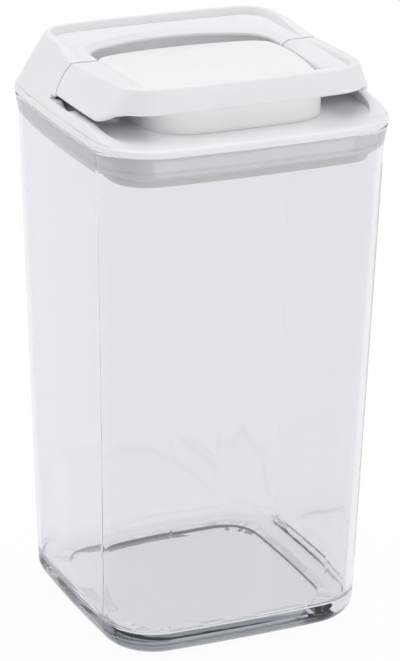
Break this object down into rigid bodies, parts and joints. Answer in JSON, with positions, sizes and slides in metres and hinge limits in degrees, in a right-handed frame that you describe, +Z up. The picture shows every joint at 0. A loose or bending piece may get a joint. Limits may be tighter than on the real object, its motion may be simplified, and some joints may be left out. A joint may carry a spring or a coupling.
{
  "type": "airtight storage box",
  "caption": "Tall square clear storage box with a white lid whose flip lever squeezes a seal ring inside the rim, for keeping dry food airtight.",
  "frame": {"origin": "middle of the base's foot ring, on the surface it stands on", "axes": "+Z up the box, -Y out of the front, where the lever's lip is"},
  "size_m": [0.105, 0.105, 0.197],
  "materials": {
    "clear_plastic": "clear, polished, faint cool tint",
    "white_plastic": "moulded satin gloss",
    "inner_plastic": "plain moulded",
    "cam_plastic": "hard low-friction moulded plastic",
    "seal_silicone": "matte translucent silicone",
    "steel": "bright drawn steel"
  },
  "bodies": {
    "container": {"container": "clear_plastic"},
    "lid": {"lid_base": "inner_plastic", "lid_cover": "white_plastic", "deck_panel": "white_plastic", "gasket": "seal_silicone", "base_plate": "clear_plastic", "plate_screws": "steel", "cover_screws": "steel"},
    "lever": {"lever": "white_plastic", "lever_axle": "steel", "axle_clips": "steel", "cam_left": "cam_plastic", "cam_right": "cam_plastic"},
    "press": {"press_ring": "inner_plastic", "crosshead": "inner_plastic", "crosshead_screws": "steel"}
  },
  "joints": [
    {"name": "lid_lift", "type": "slide", "parent": "container", "child": "lid", "axis": [0, 0, 1], "range_m": [0, 0.12]},
    {"name": "lever_flip", "type": "hinge", "parent": "lid", "child": "lever", "pos_m": [0, -0.003, 0.189], "axis": [-1, 0, 0], "range_deg": [0, 90]},
    {"name": "press_travel", "type": "slide", "parent": "lid", "child": "press", "axis": [0, 0, 1], "range_m": [0, 0.0016]}
  ],
  "couplings": [
    {"joint": "press_travel", "follows": "lever_flip", "m_per_rad": 0.0010186}
  ]
}
